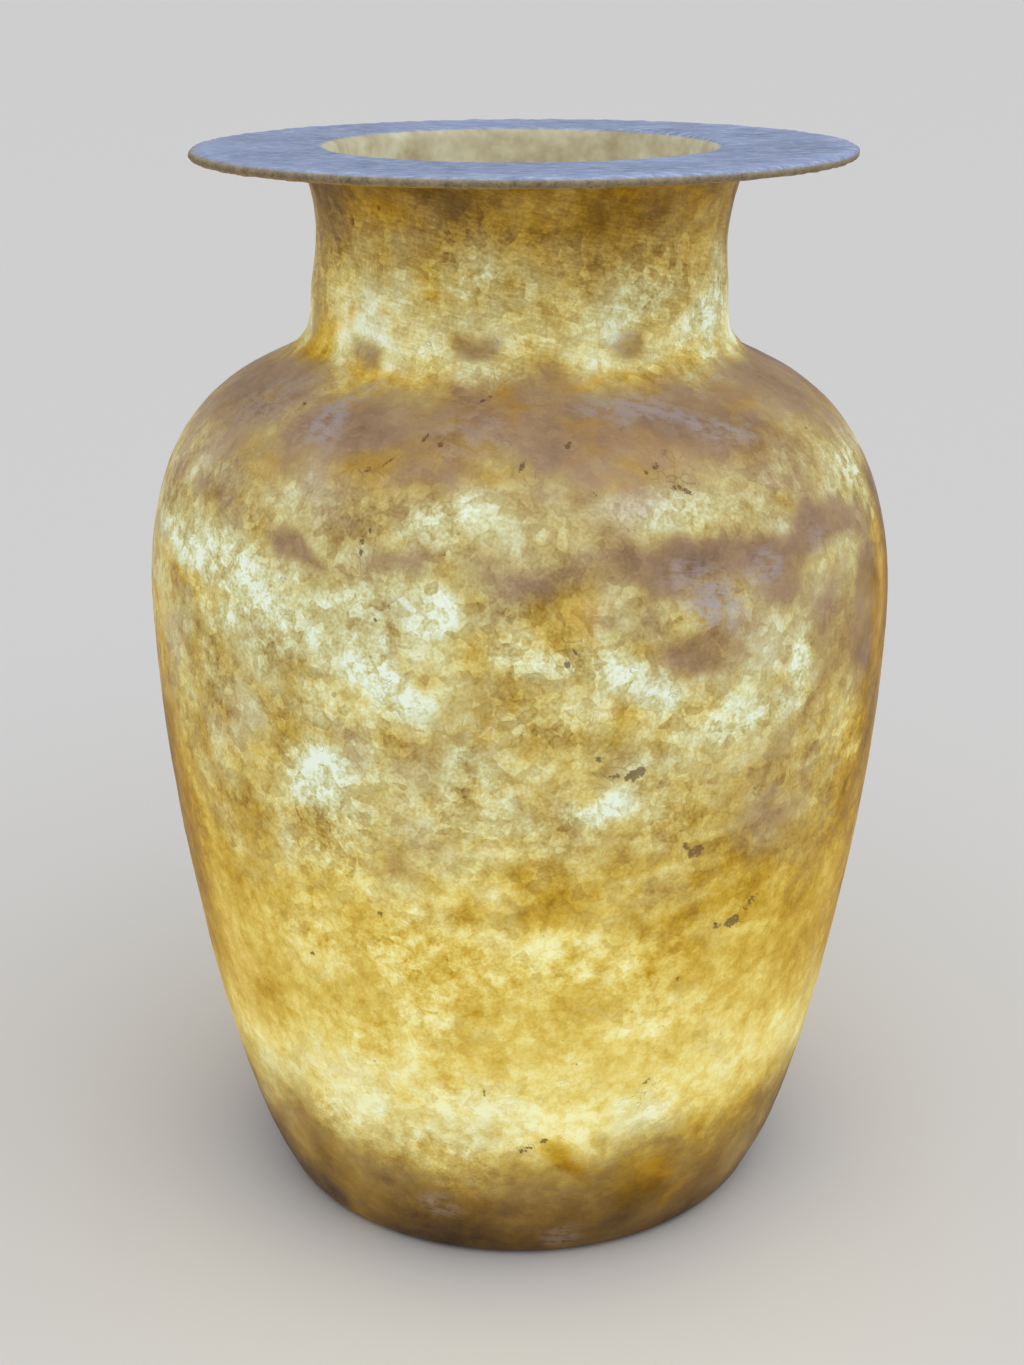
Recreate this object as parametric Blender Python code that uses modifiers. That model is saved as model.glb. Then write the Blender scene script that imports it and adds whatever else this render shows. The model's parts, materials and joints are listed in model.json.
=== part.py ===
"""Alabaster vase, carved in one piece: a high shoulder, a short wide neck and a thin flat disc rim.

The vase stands on its flat underside with its axis on +Z, and the origin is at the middle of the underside.
It is hollow and open at the mouth. Lengths are in metres and angles in degrees.
"""

import math

import bpy

# Overall height and the disc rim
VASE_HEIGHT = 0.300
RIM_RADIUS = 0.0890
RIM_EDGE_THICKNESS = 0.0031
RIM_ROOT_THICKNESS = 0.0045
RIM_FILLET = 0.0060
LIP_ROUNDING = 0.0030

# Neck: its waist lies below the rim, and its root is where it spreads on to the shoulder
NECK_WAIST_RADIUS = 0.0557
NECK_WAIST_DEPTH = 0.0230
NECK_ROOT_RADIUS = 0.0575
NECK_ROOT_DEPTH = 0.0435

# Shoulder: where the spread of the neck ends, with the slope of the stone there
SHOULDER_TOP_RADIUS = 0.0718
SHOULDER_TOP_DROP = 0.0153
SHOULDER_SLOPE = 23.5
SHOULDER_REACH = 0.0284
SHOULDER_FULLNESS = 0.0270

# Belly and flank
BELLY_RADIUS = 0.1042
BELLY_HEIGHT = 0.1770
BELLY_FULLNESS = 0.0547
FLANK_LEAN = 31.0
FLANK_REACH = 0.0312

# Foot
FOOT_RADIUS = 0.0727
FOOT_ROUNDING = 0.0070

# Thickness of the stone
NECK_WALL = 0.0042
SHOULDER_WALL = 0.0090
BELLY_WALL = 0.0060
FOOT_WALL = 0.0100
FLOOR_THICKNESS = 0.0140
FLOOR_ROUNDING = 0.0160

# Facets: sides around the axis, and points along each stretch of the outline
SIDES = 60
EDGE_POINTS = 5
LIP_POINTS = 3
FILLET_POINTS = 6
NECK_POINTS = 3
ROOT_POINTS = 4
SHOULDER_POINTS = 9
FLANK_POINTS = 9
FOOT_POINTS = 4
FLOOR_POINTS = 5

# How far the handles of the neck's curves reach, as a share of the curve's chord
HANDLE_SHARE = 0.40

STONE_COLOUR = (0.78, 0.62, 0.33, 1.0)
STONE_ROUGHNESS = 0.45


def polar(reach, degrees):
    """An offset of the given length, at an angle from the radius towards the axis's up direction."""
    angle = math.radians(degrees)
    return reach * math.cos(angle), reach * math.sin(angle)


def plus(point, offset):
    return point[0] + offset[0], point[1] + offset[1]


def distance(a, b):
    return math.hypot(b[0] - a[0], b[1] - a[1])


def bezier(start, start_handle, end_handle, end, count):
    """The points of a cubic curve after its start, each as (radius, height)."""
    points = []
    for step in range(1, count + 1):
        t = step / count
        weights = ((1 - t) ** 3, 3 * t * (1 - t) ** 2, 3 * t * t * (1 - t), t ** 3)
        corners = (start, start_handle, end_handle, end)
        radius = sum(w * c[0] for w, c in zip(weights, corners))
        height = sum(w * c[1] for w, c in zip(weights, corners))
        points.append((radius, height))
    return points


def arc(centre, radius, first, last, count):
    """Points on a circle from one angle to another, both ends included."""
    points = []
    for step in range(count + 1):
        angle = first + (last - first) * step / count
        points.append(plus(centre, polar(radius, angle)))
    return points


def waist_point():
    return NECK_WAIST_RADIUS, VASE_HEIGHT - NECK_WAIST_DEPTH


def root_point():
    return NECK_ROOT_RADIUS, VASE_HEIGHT - NECK_ROOT_DEPTH


def shoulder_top_point():
    return SHOULDER_TOP_RADIUS, root_point()[1] - SHOULDER_TOP_DROP


def rim_edge():
    """The rounded edge of the disc, from its top face over to its under face."""
    half = RIM_EDGE_THICKNESS / 2
    return arc((RIM_RADIUS - half, VASE_HEIGHT - half), half, 90, -90, EDGE_POINTS)


def rim_fillet():
    """The curve from under the disc down to the waist of the neck."""
    start = (NECK_WAIST_RADIUS + RIM_FILLET, VASE_HEIGHT - RIM_ROOT_THICKNESS)
    waist = waist_point()
    start_handle = (NECK_WAIST_RADIUS + RIM_FILLET * HANDLE_SHARE, start[1])
    end_handle = (waist[0], waist[1] + HANDLE_SHARE * (start[1] - waist[1]))
    return [start] + bezier(start, start_handle, end_handle, waist, FILLET_POINTS)


def neck_side():
    """From the waist of the neck down to its root."""
    waist = waist_point()
    root = root_point()
    reach = HANDLE_SHARE * distance(waist, root)
    return bezier(waist, (waist[0], waist[1] - reach), (root[0], root[1] + reach), root, NECK_POINTS)


def neck_root():
    """The spread of the neck on to the shoulder."""
    root = root_point()
    top = shoulder_top_point()
    reach = HANDLE_SHARE * distance(root, top)
    back = polar(-reach, -SHOULDER_SLOPE)
    return bezier(root, (root[0], root[1] - reach), plus(top, back), top, ROOT_POINTS)


def shoulder():
    top = shoulder_top_point()
    belly = (BELLY_RADIUS, BELLY_HEIGHT)
    start_handle = plus(top, polar(SHOULDER_REACH, -SHOULDER_SLOPE))
    end_handle = (BELLY_RADIUS, BELLY_HEIGHT + SHOULDER_FULLNESS)
    return bezier(top, start_handle, end_handle, belly, SHOULDER_POINTS)


def foot_edge():
    """The rounded edge of the foot, from the flank round to the flat underside."""
    lean_angle = -FLANK_LEAN
    centre_radius = FOOT_RADIUS - FOOT_ROUNDING * math.cos(math.radians(FLANK_LEAN))
    return arc((centre_radius, FOOT_ROUNDING), FOOT_ROUNDING, lean_angle, -90, FOOT_POINTS)


def flank():
    belly = (BELLY_RADIUS, BELLY_HEIGHT)
    low = foot_edge()[0]
    start_handle = (BELLY_RADIUS, BELLY_HEIGHT - BELLY_FULLNESS)
    end_handle = plus(low, polar(FLANK_REACH, 90 - FLANK_LEAN))
    return bezier(belly, start_handle, end_handle, low, FLANK_POINTS)


def wall_at(height):
    """Thickness of the stone at a height: stations from the foot to the neck, joined smoothly."""
    stations = (
        (FLOOR_THICKNESS, FOOT_WALL),
        (BELLY_HEIGHT, BELLY_WALL),
        (shoulder_top_point()[1], SHOULDER_WALL),
        (root_point()[1], NECK_WALL),
    )
    if height <= stations[0][0]:
        return stations[0][1]
    for (low, low_wall), (high, high_wall) in zip(stations, stations[1:]):
        if height <= high:
            share = (height - low) / (high - low)
            smooth = share * share * (3 - 2 * share)
            return low_wall + (high_wall - low_wall) * smooth
    return stations[-1][1]


def inner_wall(outer):
    """The hollow's side, from the bottom up: the outer wall moved in by the stone's thickness."""
    points = []
    lowest = FLOOR_THICKNESS + FLOOR_ROUNDING
    for before, here, after in zip(outer, outer[1:], outer[2:]):
        length = distance(before, after)
        outward = ((before[1] - after[1]) / length, (after[0] - before[0]) / length)
        wall = wall_at(here[1])
        point = (here[0] - wall * outward[0], here[1] - wall * outward[1])
        if point[1] > lowest:
            points.append(point)
    return points[::-1]


def floor_inside(hollow):
    """From the middle of the hollow's floor out, and round on to the line of its side."""
    foot, above = hollow[0], hollow[1]
    spread = (above[0] - foot[0]) / (above[1] - foot[1])
    corner = (foot[0] - spread * (foot[1] - FLOOR_THICKNESS), FLOOR_THICKNESS)
    edge = (corner[0] - FLOOR_ROUNDING, FLOOR_THICKNESS)
    return [(0.0, FLOOR_THICKNESS), edge] + bezier(edge, corner, corner, foot, FLOOR_POINTS)


def lip():
    """The bore of the neck and its rounded lip, up to the flat top of the rim."""
    bore = NECK_WAIST_RADIUS - NECK_WALL
    centre = (bore + LIP_ROUNDING, VASE_HEIGHT - LIP_ROUNDING)
    return [(bore, waist_point()[1])] + arc(centre, LIP_ROUNDING, 180, 90, LIP_POINTS)


def vase_outline():
    """The whole outline, from the hollow's floor up, over the rim and down the outside to the underside."""
    waist = waist_point()
    wall = [waist] + neck_side() + neck_root() + shoulder() + flank()
    hollow = inner_wall(wall)
    outline = floor_inside(hollow)
    outline += hollow[1:]
    outline += lip()
    outline += rim_edge()
    outline += rim_fillet()
    outline += wall[1:]
    outline += foot_edge()[1:]
    outline.append((0.0, 0.0))
    return outline


def stone_material():
    material = bpy.data.materials.new("alabaster")
    material.use_nodes = True
    shader = material.node_tree.nodes["Principled BSDF"]
    shader.inputs["Base Color"].default_value = STONE_COLOUR
    shader.inputs["Roughness"].default_value = STONE_ROUGHNESS
    shader.inputs["Metallic"].default_value = 0.0
    return material


def turned(name, outline, collection):
    """A solid of revolution about Z from an outline in the plane of X and Z."""
    points = [(radius, 0.0, height) for radius, height in outline]
    edges = [(index, index + 1) for index in range(len(points) - 1)]
    mesh = bpy.data.meshes.new(name)
    mesh.from_pydata(points, edges, [])
    body = bpy.data.objects.new(name, mesh)
    collection.objects.link(body)
    screw = body.modifiers.new("turn", "SCREW")
    screw.axis = "Z"
    screw.angle = math.tau
    screw.steps = SIDES
    screw.render_steps = SIDES
    screw.use_merge_vertices = True
    screw.merge_threshold = 0.00001
    screw.use_smooth_shade = True
    return body


def main():
    for existing in list(bpy.data.objects):
        bpy.data.objects.remove(existing, do_unlink=True)
    collection = bpy.data.collections.new("alabaster_vase")
    bpy.context.scene.collection.children.link(collection)
    vase = turned("vase", vase_outline(), collection)
    vase.data.materials.append(stone_material())


main()
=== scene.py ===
"""Carved alabaster vase that glows from within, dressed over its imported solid.

The stone is turned from the solid's own outline, then worn, chipped and made a little uneven by hand.
Its finish is clouded alabaster: pale where the stone lets the light through, brown where it doesn't.
Lengths are in metres unless a name says mm. Azimuths are in degrees: 0 at the front, + to the right.
"""

import json
import math

import bmesh
import bpy
import numpy as np
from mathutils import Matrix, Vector, noise

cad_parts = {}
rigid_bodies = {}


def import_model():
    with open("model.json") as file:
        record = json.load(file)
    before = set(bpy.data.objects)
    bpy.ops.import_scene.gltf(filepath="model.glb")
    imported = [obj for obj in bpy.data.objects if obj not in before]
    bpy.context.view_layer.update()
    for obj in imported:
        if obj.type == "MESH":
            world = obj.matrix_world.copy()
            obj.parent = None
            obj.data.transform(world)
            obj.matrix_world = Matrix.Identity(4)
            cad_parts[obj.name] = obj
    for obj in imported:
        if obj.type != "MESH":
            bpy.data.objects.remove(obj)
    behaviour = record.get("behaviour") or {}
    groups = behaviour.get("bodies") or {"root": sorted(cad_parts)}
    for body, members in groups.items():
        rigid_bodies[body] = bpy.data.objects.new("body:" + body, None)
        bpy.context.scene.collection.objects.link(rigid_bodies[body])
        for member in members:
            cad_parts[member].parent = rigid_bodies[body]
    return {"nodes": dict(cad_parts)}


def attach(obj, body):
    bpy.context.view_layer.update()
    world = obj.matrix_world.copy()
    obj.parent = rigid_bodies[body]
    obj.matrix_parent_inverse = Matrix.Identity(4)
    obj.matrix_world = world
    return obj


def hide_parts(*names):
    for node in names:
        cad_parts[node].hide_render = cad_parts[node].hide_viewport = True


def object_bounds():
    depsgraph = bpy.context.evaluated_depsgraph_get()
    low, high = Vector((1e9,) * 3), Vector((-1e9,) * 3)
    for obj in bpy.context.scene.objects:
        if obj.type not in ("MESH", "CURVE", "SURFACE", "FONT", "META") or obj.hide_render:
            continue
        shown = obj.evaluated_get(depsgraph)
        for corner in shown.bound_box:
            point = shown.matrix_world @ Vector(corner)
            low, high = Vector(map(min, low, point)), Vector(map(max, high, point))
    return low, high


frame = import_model()
CAD_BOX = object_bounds()

bl_info = {
    "name": "Alabaster vase",
    "version": (1, 0, 0),
    "blender": (4, 5, 0),
    "location": "3D View > Sidebar > Vase",
    "description": "Turns, carves and finishes a glowing alabaster vase, and sets the studio around it",
    "category": "Object",
}

NODE = "vase"
PIECE = "vase_stone"
MM = 0.001
# Overall height in mm, which the ramps over the height are counted in
HEIGHT_TOP = 300.0
# How far one degree of azimuth reaches along the belly, in mm
DEGREE_MM = 1.8
# Radius of the disc rim
RIM_RADIUS = 0.089
# How far down the hollow shows through the mouth
SEEN_DEPTH = 0.06
# Spacing of the rings on the underside
UNDERSIDE_STEP = 0.010
# A span of the outline this many times as long as the next one stays straight where they meet
LONG_SPAN = 2.5


class VaseShape(bpy.types.PropertyGroup):
    """How finely the stone is turned, and how far hand work and wear depart from a true turning."""

    columns: bpy.props.IntProperty(
        name="Columns", description="Steps of the turning around the axis", default=360, min=24
    )
    outer_step: bpy.props.FloatProperty(
        name="Outer step", description="Spacing of the rings on the outside", default=0.0022, unit="LENGTH"
    )
    rim_step: bpy.props.FloatProperty(
        name="Rim step", description="Spacing of the rings on the flat of the rim",
        default=0.0036, unit="LENGTH"
    )
    inner_step: bpy.props.FloatProperty(
        name="Inner step", description="Spacing of the rings in the hollow", default=0.0120, unit="LENGTH"
    )
    waviness: bpy.props.FloatProperty(
        name="Waviness", description="Depth of the broad unevenness of the carving",
        default=0.0010, unit="LENGTH"
    )
    tooling: bpy.props.FloatProperty(
        name="Tooling", description="Depth of the smaller marks of hand smoothing",
        default=0.00045, unit="LENGTH"
    )
    grain: bpy.props.FloatProperty(
        name="Grain", description="Depth of the worn grain of the stone", default=0.00018, unit="LENGTH"
    )
    edge_wear: bpy.props.FloatProperty(
        name="Edge wear", description="Depth of the nibbled edge of the rim", default=0.0008, unit="LENGTH"
    )
    rim_shift: bpy.props.FloatProperty(
        name="Rim shift", description="How far the rim sits to the right of the body",
        default=0.0009, unit="LENGTH"
    )
    rim_drop: bpy.props.FloatProperty(
        name="Rim drop", description="How much lower the rim is on its left", default=0.0007, unit="LENGTH"
    )


class VaseColours(bpy.types.PropertyGroup):
    """The stone's colours as they show, lit from inside and from the studio."""

    glow: bpy.props.FloatProperty(
        name="Glow", description="Share of the stone's brightness that comes from inside", default=0.66,
        min=0.0, max=1.0, subtype="FACTOR",
    )
    # Painted reflection: the blue-grey of the rim's top is partly the cool sky's reflection painted into
    # the colour.
    rim_top_sky_tinted: bpy.props.FloatVectorProperty(
        name="Rim top", description="Unlit stone on top of the rim", subtype="COLOR", size=3,
        default=(0.28, 0.345, 0.52),
    )
    # Partly painted highlight: these pale scratches also stand in for highlights on the rim.
    rim_scratch_highlit: bpy.props.FloatVectorProperty(
        name="Rim scratches", description="Pale scratches on top of the rim", subtype="COLOR", size=3,
        default=(0.52, 0.53, 0.56),
    )
    rim_face: bpy.props.FloatVectorProperty(
        name="Rim edge", description="Rough stone of the rim's edge", subtype="COLOR", size=3,
        default=(0.22, 0.178, 0.110),
    )
    amber: bpy.props.FloatVectorProperty(
        name="Amber stain", description="Iron stain along veins", subtype="COLOR", size=3,
        default=(0.52, 0.26, 0.012),
    )
    # Painted sheen: this colour stands in for the studio light reflected from scuffs.
    lavender_sheen: bpy.props.FloatVectorProperty(
        name="Lavender scuff", description="Scuffed spots that catch the studio light",
        subtype="COLOR", size=3,
        default=(0.38, 0.34, 0.37),
    )
    chip: bpy.props.FloatVectorProperty(
        name="Chip", description="Dirt in chips, pits and cracks", subtype="COLOR", size=3,
        default=(0.15, 0.092, 0.040),
    )


class StudioSetup(bpy.types.PropertyGroup):
    """Floor, lights and camera."""

    lens: bpy.props.FloatProperty(name="Lens", description="Focal length in mm", default=54.09)
    distance: bpy.props.FloatProperty(
        name="Distance", description="Camera's distance from the axis, level",
        default=0.56434, unit="LENGTH"
    )
    height: bpy.props.FloatProperty(
        name="Height", description="Camera's height above the floor", default=0.34690, unit="LENGTH"
    )
    aside: bpy.props.FloatProperty(
        name="Aside", description="Camera's place left or right of the axis", default=-0.0022, unit="LENGTH"
    )
    pitch: bpy.props.FloatProperty(
        name="Pitch", description="How far the camera looks down",
        default=math.radians(19.525), unit="ROTATION"
    )
    floor: bpy.props.FloatVectorProperty(
        name="Floor", description="Colour of the plain floor", subtype="COLOR", size=3,
        default=(0.82, 0.81, 0.79)
    )
    overhead: bpy.props.FloatProperty(
        name="Overhead light", description="Strength of the soft top light", default=1.5
    )
    sky: bpy.props.FloatProperty(name="Sky", description="Strength of the plain surround", default=0.36)


# Where a patch starts to fade and where it ends, as shares of its half width or half height
PATCH_EDGE = (0.3, 1.4)
# Each row is azimuth, height in mm, half width in mm, half height in mm, tilt in degrees, strength.
# Half widths are as on the belly. On the neck the same number of degrees is half as wide.
BRIGHT = (
    # Rim and neck
    (-14, 282, 22, 9, 0, 0.10), (-16, 275, 16, 9, 0, 0.14), (35, 270, 18, 9, 0, 0.05),
    (34, 266, 14, 6, 0, 0.10), (65, 265, 20, 9, 0, 0.16), (20, 261, 18, 5, 0, 0.10),
    (56, 259, 24, 6, 5, 0.24), (80, 255, 14, 5, 0, 0.18), (-38, 254, 14, 5, 0, 0.10),
    (-30, 248, 10, 3, 0, 0.12), (-48, 247, 20, 3, 0, 0.10), (-6, 247, 14, 3, 0, 0.14),
    (48, 247, 22, 4, 0, 0.20),
    # Shoulder
    (-50, 240, 18, 6, 0, 0.10), (-6, 236, 20, 5, 0, 0.05), (-50, 226, 10, 4, 0, 0.06),
    (4, 226, 14, 4, 0, 0.05), (-68, 224, 10, 5, 0, 0.06), (-30, 224, 34, 5, 0, 0.06),
    (46, 224, 14, 5, 0, 0.10), (-52, 223, 12, 5, 10, 0.10), (68, 223, 18, 6, 0, 0.32),
    (-10, 222, 8, 4, 24, 0.20), (-8, 222, 14, 5, 0, 0.10), (22, 222, 24, 5, -4, 0.20),
    (-13, 218, 6, 5, 0, 0.12),
    # Top of the belly
    (62, 214, 8, 4, 0, 0.12), (-68, 212, 9, 5, 0, 0.14), (0, 212, 30, 6, 0, 0.06),
    (70, 212, 8, 5, 0, 0.12), (-68, 206, 12, 4, 0, 0.20), (-52, 203, 22, 6, -4, 0.38),
    (0, 203, 6, 6, 0, 0.12), (12, 202, 6, 6, 0, 0.05), (-30, 200, 8, 6, 0, 0.10),
    (-22, 200, 14, 8, -10, 0.20), (-12, 199, 8, 5, 0, 0.36), (-40, 197, 12, 7, -20, 0.30),
    (-46, 190, 10, 7, 0, 0.16), (-31, 189, 8, 8, 0, 0.16), (-30, 189, 6, 6, 0, 0.06),
    (0, 189, 10, 6, -6, 0.30), (10, 189, 7, 5, 0, 0.04), (-38, 187, 7, 9, 10, 0.26),
    (12, 187, 10, 6, -14, 0.18), (-22, 186, 9, 8, -30, 0.30), (43, 181, 4, 8, 0, 0.30),
    (18, 180, 12, 6, -20, 0.22),
    # Belly
    (-16, 179, 10, 6, -30, 0.30), (-50, 174, 8, 7, 0, 0.08), (5, 174, 14, 7, 0, 0.12),
    (-30, 172, 9, 7, 0, 0.12), (-20, 172, 10, 5, 0, 0.12), (20, 172, 8, 5, 0, 0.18),
    (40, 170, 10, 3, 14, 0.18), (29, 168, 14, 6, 12, 0.22), (-24, 160, 16, 8, 0, 0.08),
    (-3, 158, 5, 10, 0, 0.12), (20, 158, 7, 6, 0, 0.08), (-8, 156, 8, 12, 0, 0.16),
    (-30, 155, 8, 9, 0, 0.28), (12, 152, 10, 4, 8, 0.34), (54, 150, 4, 6, 0, 0.10),
    (-32, 148, 6, 6, 0, 0.16), (60, 147, 5, 5, 0, 0.26), (-36, 146, 10, 8, 0, 0.09),
    (-16, 146, 12, 8, 0, 0.08), (2, 146, 18, 8, 0, 0.10), (20, 146, 7, 8, 0, 0.12),
    (-26, 144, 8, 8, 0, 0.20), (-2, 134, 18, 12, 0, 0.05), (-50, 132, 6, 7, 0, 0.12),
    (-36, 132, 5, 10, 0, 0.14), (-30, 132, 8, 8, 0, 0.07), (-28, 132, 10, 12, 0, 0.16),
    (-8, 132, 8, 7, 0, 0.06),
    # Flank
    (-20, 118, 14, 10, 0, 0.10), (-12, 118, 12, 9, 0, 0.12), (-34, 106, 14, 12, 0, 0.14),
    (0, 106, 40, 12, 0, 0.16), (-20, 104, 10, 8, 0, 0.20), (18, 98, 9, 10, 0, 0.09),
    (-17, 95, 9, 9, 0, 0.08), (-14, 88, 12, 9, 0, 0.14), (20, 84, 10, 8, 0, 0.10),
    (-24, 76, 12, 9, 0, 0.10), (-12, 76, 9, 8, 0, 0.10), (-22, 62, 16, 10, 0, 0.08),
    (-10, 60, 12, 8, 0, 0.16), (1, 60, 9, 8, 0, 0.12),
    # Bright band and foot
    (25, 58, 5, 8, 20, 0.20), (-30, 56, 14, 8, 0, 0.08), (9, 54, 8, 7, 0, 0.14),
    (-36, 48, 12, 7, 0, 0.16), (0, 47, 16, 6, 0, 0.08), (-16, 44, 24, 9, 0, 0.16),
    (-10, 34, 14, 8, 0, 0.10), (-48, 20, 14, 6, 0, 0.04), (-22, 18, 14, 6, 0, 0.05),
    # Sides and back
    (-136, 268, 18, 8, 0, 0.12), (140, 262, 20, 6, 0, 0.16), (-104, 260, 18, 5, 0, 0.16),
    (-166, 258, 24, 5, 0, 0.20), (104, 258, 18, 5, 0, 0.16), (-112, 222, 16, 5, 0, 0.14),
    (150, 222, 22, 5, 0, 0.14), (-122, 204, 16, 6, 0, 0.28), (104, 203, 12, 6, 0, 0.20),
    (162, 203, 12, 6, -6, 0.28), (-136, 198, 8, 8, 0, 0.20), (-98, 196, 12, 7, 0, 0.22),
    (128, 196, 18, 7, 6, 0.32), (-158, 190, 15, 8, 12, 0.32), (140, 190, 9, 8, 0, 0.22),
    (-176, 166, 9, 12, 0, 0.24), (142, 158, 10, 8, -14, 0.26), (-134, 150, 9, 7, 0, 0.28),
    (136, 62, 10, 8, 0, 0.16), (172, 60, 9, 7, 0, 0.24), (-146, 56, 9, 7, 0, 0.24),
)
# Duller, darker stone. The tall rows near ±60° to ±80° are partly darker stone and partly painted shade on
# the flanks.
DULL_AND_SIDE_SHADE = (
    # Rim and neck
    (-38, 289, 12, 5, 0, 0.08), (56, 288, 14, 6, 0, 0.08), (16, 285, 20, 6, 0, 0.08),
    (-74, 282, 12, 14, 0, 0.20), (-58, 281, 12, 9, 0, 0.16), (20, 281, 16, 8, 0, 0.12),
    (76, 280, 10, 14, 0, 0.20), (6, 277, 14, 7, -18, 0.12), (-50, 274, 10, 8, 0, 0.08),
    (16, 268, 14, 5, 0, 0.06), (3, 267, 12, 6, 0, 0.12), (-78, 262, 10, 10, 0, 0.14),
    (84, 262, 10, 10, 0, 0.16), (20, 260, 9, 5, 0, 0.14), (-20, 259, 8, 4, 0, 0.16),
    (10, 259, 11, 5, 0, 0.22), (-60, 258, 8, 6, 0, 0.18), (-14, 258, 12, 5, 0, 0.14),
    (-70, 256, 12, 9, 0, 0.34), (-12, 255, 13, 4, -8, 0.33), (29, 255, 11, 3.5, 6, 0.38),
    (-38, 254, 10, 4, 0, 0.08), (-42, 252, 11, 4, 0, 0.26), (5, 251, 8, 4, 0, 0.16),
    # Shoulder
    (56, 238, 14, 6, 0, 0.08), (36, 236, 30, 6, -4, 0.16), (-40, 224, 9, 4, 0, 0.08),
    (30, 224, 10, 4, 0, 0.08),
    # Top of the belly
    (-56, 217, 14, 5, -6, 0.26), (-5, 212, 9, 7, 0, 0.24), (11, 212, 12, 7, 20, 0.30),
    (80, 212, 12, 7, 0, 0.16), (-35, 211, 14, 5, -10, 0.34), (60, 211, 14, 7, 6, 0.30),
    (-18, 210, 13, 5, 0, 0.28), (21, 209, 14, 7, -4, 0.44), (32, 209, 14, 7, -4, 0.38),
    (46, 209, 16, 6, 6, 0.40), (3, 208, 9, 6, 16, 0.32), (0, 206, 20, 4, 0, 0.08),
    (-20, 200, 4, 4, 0, 0.20), (18, 200, 16, 6, 0, 0.12), (30, 200, 8, 5, 0, 0.08),
    (40, 200, 12, 6, 0, 0.14), (7, 199, 8, 7, 0, 0.12), (60, 198, 8, 8, 0, 0.10),
    (40, 197, 10, 7, -40, 0.22), (78, 192, 16, 26, 8, 0.44), (33, 190, 8, 7, 0, 0.10),
    (50, 189, 11, 13, 0, 0.30), (30, 188, 7, 7, 0, 0.06), (25, 187, 11, 7, -20, 0.26),
    (28, 187, 14, 8, -10, 0.16), (62, 187, 11, 17, 0, 0.48), (0, 182, 12, 6, 0, 0.10),
    (-8, 180, 10, 5, 0, 0.12),
    # Belly
    (-48, 178, 12, 8, 0, 0.10), (56, 178, 7, 9, 0, 0.14), (50, 174, 8, 6, 0, 0.12),
    (14, 160, 8, 5, -6, 0.16), (38, 160, 14, 8, 0, 0.14), (67, 158, 14, 24, 0, 0.18),
    (28, 154, 10, 8, 0, 0.10), (38, 142, 20, 16, 20, 0.12), (-2, 140, 10, 7, 0, 0.04),
    (36, 140, 12, 20, 0, 0.09), (-68, 136, 16, 24, 0, 0.08), (40, 134, 16, 20, 0, 0.06),
    (-8, 132, 7, 7, 0, 0.05), (58, 132, 8, 14, 0, 0.08), (-66, 130, 18, 40, 0, 0.09),
    (56, 130, 14, 16, 0, 0.10), (68, 128, 20, 40, -8, 0.16), (-24, 124, 10, 8, 0, 0.08),
    (-50, 122, 10, 18, 0, 0.12), (8, 120, 12, 6, 0, 0.05), (50, 120, 12, 26, 10, 0.12),
    # Flank
    (10, 118, 6, 7, 0, 0.06), (30, 118, 8, 10, 0, 0.08), (44, 118, 14, 16, 0, 0.10),
    (-72, 112, 22, 48, 6, 0.14), (-8, 96, 10, 8, 0, 0.06), (52, 96, 16, 16, 0, 0.10),
    (16, 90, 5, 12, 40, 0.08), (44, 90, 16, 24, 0, 0.08), (-64, 88, 18, 34, 0, 0.08),
    (-44, 86, 12, 16, -20, 0.14), (58, 78, 18, 20, 0, 0.18), (72, 78, 20, 30, 8, 0.14),
    (-54, 76, 12, 12, 0, 0.10), (-47, 76, 13, 12, 0, 0.15), (48, 76, 16, 12, 0, 0.10),
    (-68, 62, 18, 26, 6, 0.14), (30, 62, 20, 12, 0, 0.05),
    # Bright band and foot
    (-60, 48, 10, 10, 0, 0.12), (12, 48, 20, 6, 0, 0.08), (14, 46, 3, 9, 34, 0.18),
    (54, 46, 20, 10, 0, 0.20), (34, 44, 26, 9, 0, 0.14), (8, 41, 4, 14, 40, 0.24),
    (20, 34, 7, 6, 0, 0.12), (48, 34, 20, 10, 0, 0.16), (-24, 30, 26, 9, 0, 0.05),
    (70, 30, 24, 20, 0, 0.26), (-74, 28, 24, 20, 0, 0.16), (28, 27, 14, 9, 20, 0.10),
    (16, 22, 24, 8, 0, 0.08), (-62, 14, 16, 10, 0, 0.10), (-48, 12, 16, 12, 0, 0.07),
    (-44, 10, 10, 5, 0, 0.10), (10, 10, 30, 5, 0, 0.06),
    # Sides and back. The four widest rows, at about ±97°, are painted shade that darkens the flanks
    (-110, 280, 24, 7, 0, 0.12), (172, 279, 30, 8, 10, 0.14), (-110, 253, 12, 4, 0, 0.22),
    (150, 252, 14, 4.5, 0, 0.26), (110, 251, 12, 4, 0, 0.22), (-158, 250, 12, 4, 0, 0.24),
    (-92, 214, 16, 7, 0, 0.26), (120, 214, 18, 8, 6, 0.28), (-178, 213, 18, 8, 5, 0.30),
    (-116, 213, 18, 8, 4, 0.28), (150, 211, 18, 7, -5, 0.32), (-146, 210, 18, 7, -8, 0.32),
    (94, 210, 14, 7, 0, 0.24), (90, 208, 20, 12, 0, 0.14), (166, 185, 10, 8, 0, 0.26),
    (-140, 178, 14, 10, 20, 0.16), (110, 160, 12, 14, 0, 0.14), (-104, 150, 12, 14, 0, 0.12),
    (-98, 150, 70, 80, 0, 0.28), (98, 150, 70, 80, 0, 0.29), (170, 128, 16, 14, 10, 0.12),
    (-150, 112, 12, 18, -10, 0.14), (-96, 70, 62, 56, 0, 0.24), (96, 66, 64, 56, 0, 0.24),
    (160, 38, 5, 12, 30, 0.22), (-128, 34, 16, 10, 0, 0.14),
)
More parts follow.
